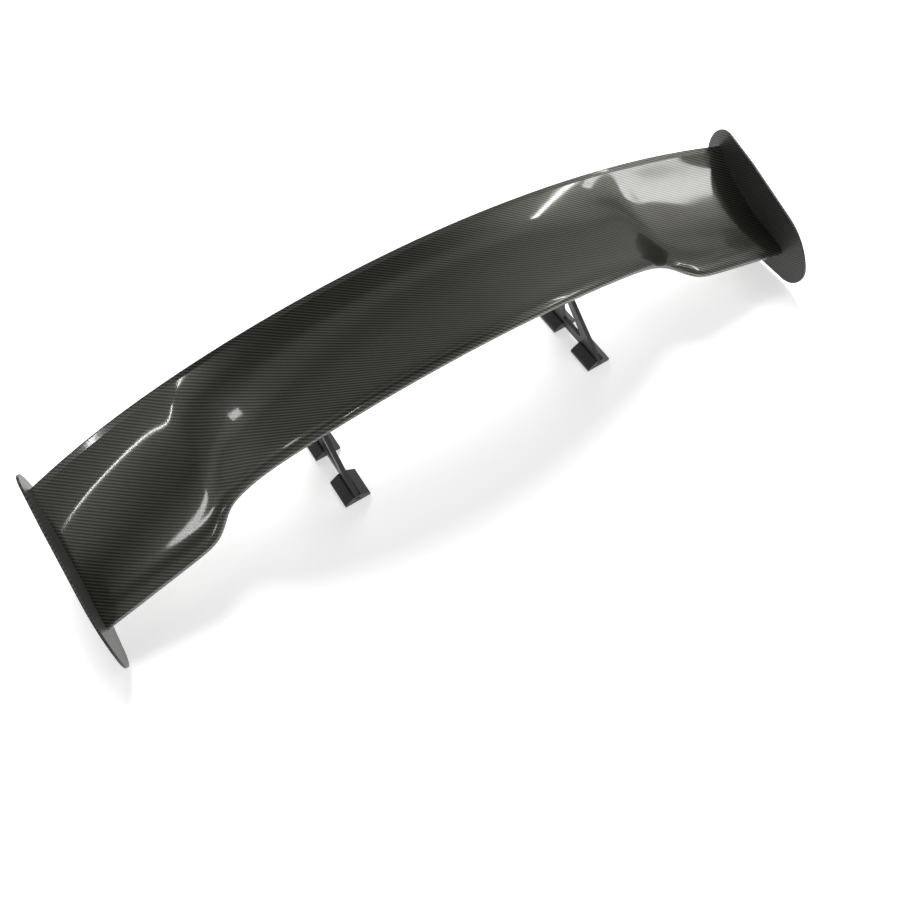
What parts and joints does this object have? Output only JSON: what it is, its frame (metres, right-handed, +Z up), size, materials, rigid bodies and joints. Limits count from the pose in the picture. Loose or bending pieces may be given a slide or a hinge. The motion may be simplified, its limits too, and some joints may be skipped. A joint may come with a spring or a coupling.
{
  "type": "racing rear wing",
  "caption": "Arched carbon rear wing blade with rounded end plates on plate stands with saddle feet; the blade's angle is set by a bolt in an arc slot.",
  "frame": {"origin": "on the deck the feet stand on, mid-span, midway between the front and the rear feet", "axes": "+X along the span to the right end seen from behind, +Y rearward, +Z up"},
  "size_m": [1.4056, 0.3486, 0.2281],
  "materials": {
    "carbon_gloss": "twill carbon laminate under a glossy clear coat",
    "carbon_satin": "twill carbon laminate, satin",
    "foam": "closed-cell foam core, hidden",
    "alloy": "machined, hidden inside the blade",
    "black_stand": "satin black anodised aluminium plate",
    "black_foot": "satin black anodised aluminium",
    "black_eyelet": "glossy black",
    "stainless": "stainless steel fasteners"
  },
  "bodies": {
    "stands": {"stand_left": "black_stand", "stand_right": "black_stand", "pivot_bolts": "stainless", "pivot_washers": "stainless", "pivot_nuts": "stainless"},
    "blade": {"blade_core": "foam", "blade_upper_skin": "carbon_gloss", "blade_lower_skin": "carbon_gloss", "end_rib_left": "alloy", "end_rib_right": "alloy", "hardpoint_inserts": "alloy", "endplate_left": "carbon_satin", "endplate_right": "carbon_satin", "endplate_screws": "stainless", "endplate_washers": "stainless", "eyelet_front_left": "black_eyelet", "eyelet_front_right": "black_eyelet", "eyelet_rear_left": "black_eyelet", "eyelet_rear_right": "black_eyelet", "eyelet_screws": "stainless", "clamp_bolts": "stainless", "clamp_washers": "stainless", "clamp_nuts": "stainless"},
    "foot_fl": {"foot_front_left": "black_foot"},
    "foot_fr": {"foot_front_right": "black_foot"},
    "foot_rl": {"foot_rear_left": "black_foot"},
    "foot_rr": {"foot_rear_right": "black_foot"}
  },
  "joints": [
    {"name": "angle_of_attack", "type": "hinge", "parent": "stands", "child": "blade", "pos_m": [0, 0.066, 0.137], "axis": [1, 0, 0], "range_deg": [-3.5, 6]},
    {"name": "foot_slide_front_left", "type": "slide", "parent": "stands", "child": "foot_fl", "axis": [0, 1, 0], "range_m": [-0.0075, 0.0075]},
    {"name": "foot_slide_front_right", "type": "slide", "parent": "stands", "child": "foot_fr", "axis": [0, 1, 0], "range_m": [-0.0075, 0.0075]},
    {"name": "foot_slide_rear_left", "type": "slide", "parent": "stands", "child": "foot_rl", "axis": [0, 1, 0], "range_m": [-0.0075, 0.0075]},
    {"name": "foot_slide_rear_right", "type": "slide", "parent": "stands", "child": "foot_rr", "axis": [0, 1, 0], "range_m": [-0.0075, 0.0075]}
  ]
}
